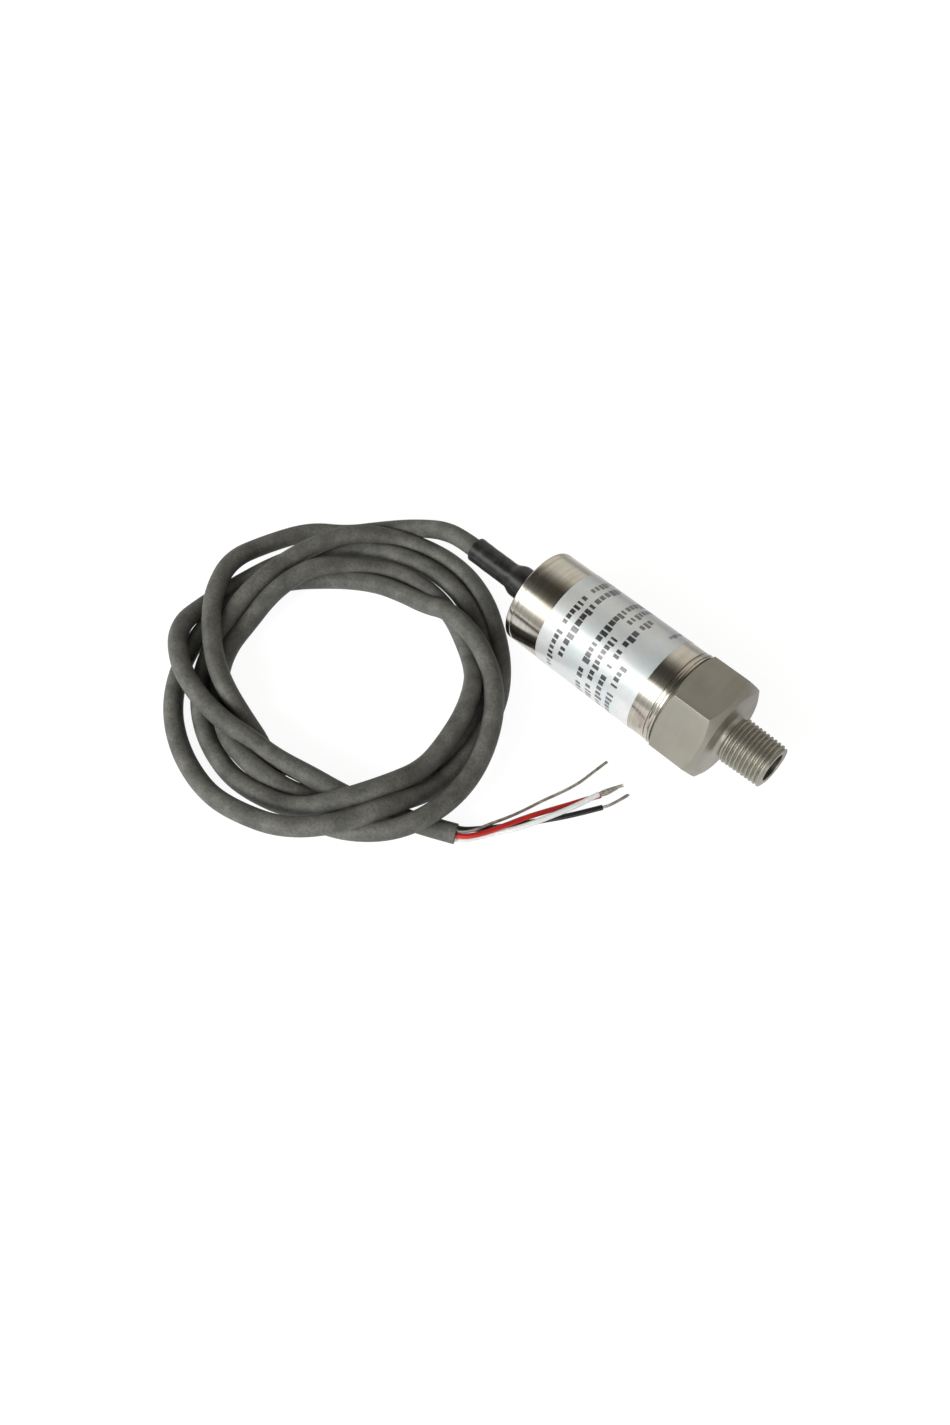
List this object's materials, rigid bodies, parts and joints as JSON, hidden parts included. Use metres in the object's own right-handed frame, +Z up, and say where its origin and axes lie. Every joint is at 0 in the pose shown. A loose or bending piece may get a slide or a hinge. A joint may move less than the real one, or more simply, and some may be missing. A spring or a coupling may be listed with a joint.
{
  "type": "pressure transmitter",
  "caption": "Cylindrical stainless pressure transmitter with a hexagon, a tapered process thread with a pressure bore, and a coiled cable with bare conductor ends.",
  "frame": {"origin": "middle of the footprint of the transmitter without its free cable, at table height under the middle of its axis", "axes": "+X along the transmitter's axis, out of the process thread; +Z up, away from the table; the free cable lies to -X and -Y"},
  "size_m": [0.1262, 0.0946, 0.0222],
  "materials": {
    "port_steel": "machined stainless, satin",
    "can_steel": "polished stainless",
    "label_film": "metallised film, satin",
    "boot_black": "shrunk sleeving, semi-gloss",
    "jacket_grey": "flexible cable jacket, matte",
    "ferrule_brass": "plated brass",
    "seal_rubber": "matte",
    "sleeve_plastic": "natural plastic",
    "board_green": "glass-fibre board with solder mask",
    "chip_black": "moulded package",
    "capacitor_tan": "ceramic",
    "gauge_silicon": "silicon, glossy",
    "pin_gold": "gold-plated",
    "tinned_copper": "tinned stranded copper",
    "wire_black": "insulation",
    "wire_red": "insulation",
    "wire_white": "insulation, slightly translucent"
  },
  "bodies": {
    "root": {"pressure_port": "port_steel", "strain_gauges": "gauge_silicon", "housing_can": "can_steel", "can_seal": "seal_rubber", "label": "label_film", "cable_ferrule": "ferrule_brass", "crimp_collar": "ferrule_brass", "heat_shrink_boot": "boot_black", "cable_entry": "jacket_grey", "insulating_sleeve": "sleeve_plastic", "board_spacer": "sleeve_plastic", "terminal_board": "board_green", "main_board": "board_green", "link_pins": "pin_gold", "signal_chip": "chip_black", "capacitors": "capacitor_tan", "resistors": "chip_black", "voltage_regulator": "chip_black", "board_leads": "wire_red", "gauge_leads": "pin_gold", "cable_lead": "jacket_grey", "cable_coil": "jacket_grey", "cable_tail": "jacket_grey", "black_conductor": "wire_black", "red_conductor": "wire_red", "white_conductor": "wire_white", "drain_wire": "tinned_copper", "black_strands": "tinned_copper", "red_strands": "tinned_copper", "white_strands": "tinned_copper"}
  },
  "joints": []
}
